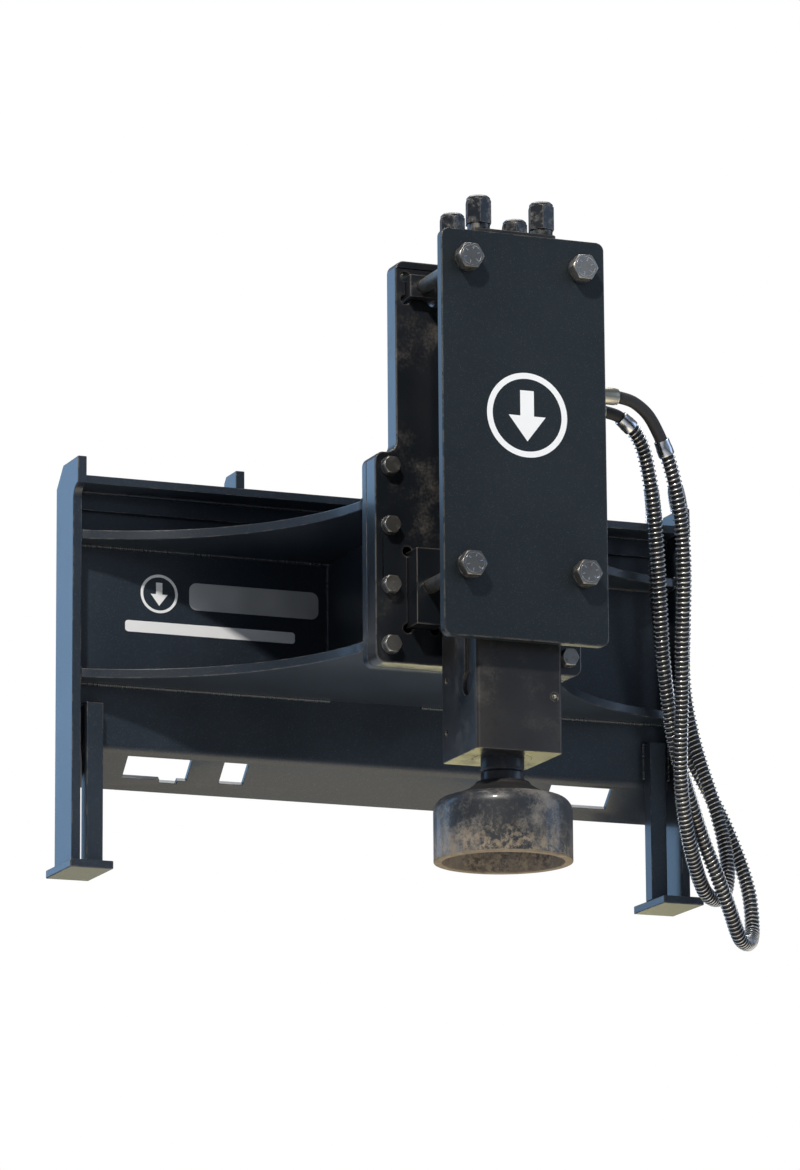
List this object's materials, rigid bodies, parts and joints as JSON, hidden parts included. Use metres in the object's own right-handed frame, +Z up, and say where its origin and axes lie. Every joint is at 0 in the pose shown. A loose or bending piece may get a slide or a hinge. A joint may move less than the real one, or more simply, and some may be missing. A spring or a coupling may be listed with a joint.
{
  "type": "hydraulic breaker hammer",
  "caption": "Square-bodied hydraulic breaker with a post driver cup, clamped in a plate cradle on a skid steer quick attach frame, with two guarded hydraulic hoses.",
  "frame": {"origin": "centre of the main plate's back face, where the loader's coupler bears", "axes": "+X to the right seen from the front, +Y back towards the loader, +Z up"},
  "size_m": [1.2623, 0.835, 1.163],
  "materials": {
    "frame_paint": "satin",
    "head_paint": "satin",
    "dull_steel": "dull zinc, weathered",
    "zinc": "zinc plated",
    "bright_steel": "ground",
    "worn_cup": "worn black, earth marks",
    "bronze": "machined",
    "rubber": "matte"
  },
  "bodies": {
    "frame_and_breaker": {"main_plate": "frame_paint", "top_bar": "frame_paint", "top_lip": "frame_paint", "upper_strip": "frame_paint", "end_plate_left": "frame_paint", "end_plate_right": "frame_paint", "lug_left": "frame_paint", "lug_right": "frame_paint", "upper_rib": "frame_paint", "lower_rib": "frame_paint", "web_left": "frame_paint", "web_right": "frame_paint", "face_plate": "frame_paint", "leg_left": "frame_paint", "leg_right": "frame_paint", "foot_left": "frame_paint", "foot_right": "frame_paint", "cradle_plate": "frame_paint", "upper_blocks": "frame_paint", "lower_blocks": "frame_paint", "clamp_plate": "frame_paint", "front_head": "head_paint", "cylinder": "head_paint", "back_head": "head_paint", "tie_rod_collars": "head_paint", "tie_rod_nuts": "head_paint", "cradle_bolts": "dull_steel", "clamp_bolts": "dull_steel", "tie_rods": "dull_steel", "retaining_pin": "dull_steel", "valve_plug": "dull_steel", "cradle_washers": "zinc", "clamp_washers": "zinc", "port_adapters": "zinc", "hose_nuts": "zinc", "hose_ferrules": "zinc", "end_ferrules": "zinc", "grease_nipple": "zinc", "charge_valve": "zinc", "male_coupler": "bright_steel", "female_coupler": "bright_steel", "lower_bush": "bronze", "upper_bush": "bronze", "lower_seal_carrier": "bronze", "upper_seal_carrier": "bronze", "front_pads": "rubber", "rear_pads": "rubber", "pin_plug": "rubber", "rod_seals": "rubber", "hose_pressure": "rubber", "hose_return": "rubber"},
    "tool": {"tool_shank": "dull_steel", "cup_hub": "head_paint", "driver_cup": "worn_cup"},
    "piston": {"piston": "bright_steel"},
    "valve_spool": {"valve_spool": "bright_steel"},
    "coupler_sleeve": {"coupler_sleeve": "zinc"}
  },
  "joints": [
    {"name": "tool_slide", "type": "slide", "parent": "frame_and_breaker", "child": "tool", "axis": [0, 0, 1], "range_m": [0, 0.03]},
    {"name": "piston_stroke", "type": "slide", "parent": "frame_and_breaker", "child": "piston", "axis": [0, 0, 1], "range_m": [0, 0.055]},
    {"name": "spool_shift", "type": "slide", "parent": "frame_and_breaker", "child": "valve_spool", "axis": [0, 0, 1], "range_m": [0, 0.012]},
    {"name": "sleeve_pull", "type": "slide", "parent": "frame_and_breaker", "child": "coupler_sleeve", "axis": [0, 0, 1], "range_m": [0, 0.006], "stiffness_N_per_m": 1500, "springref_m": -0.004}
  ]
}
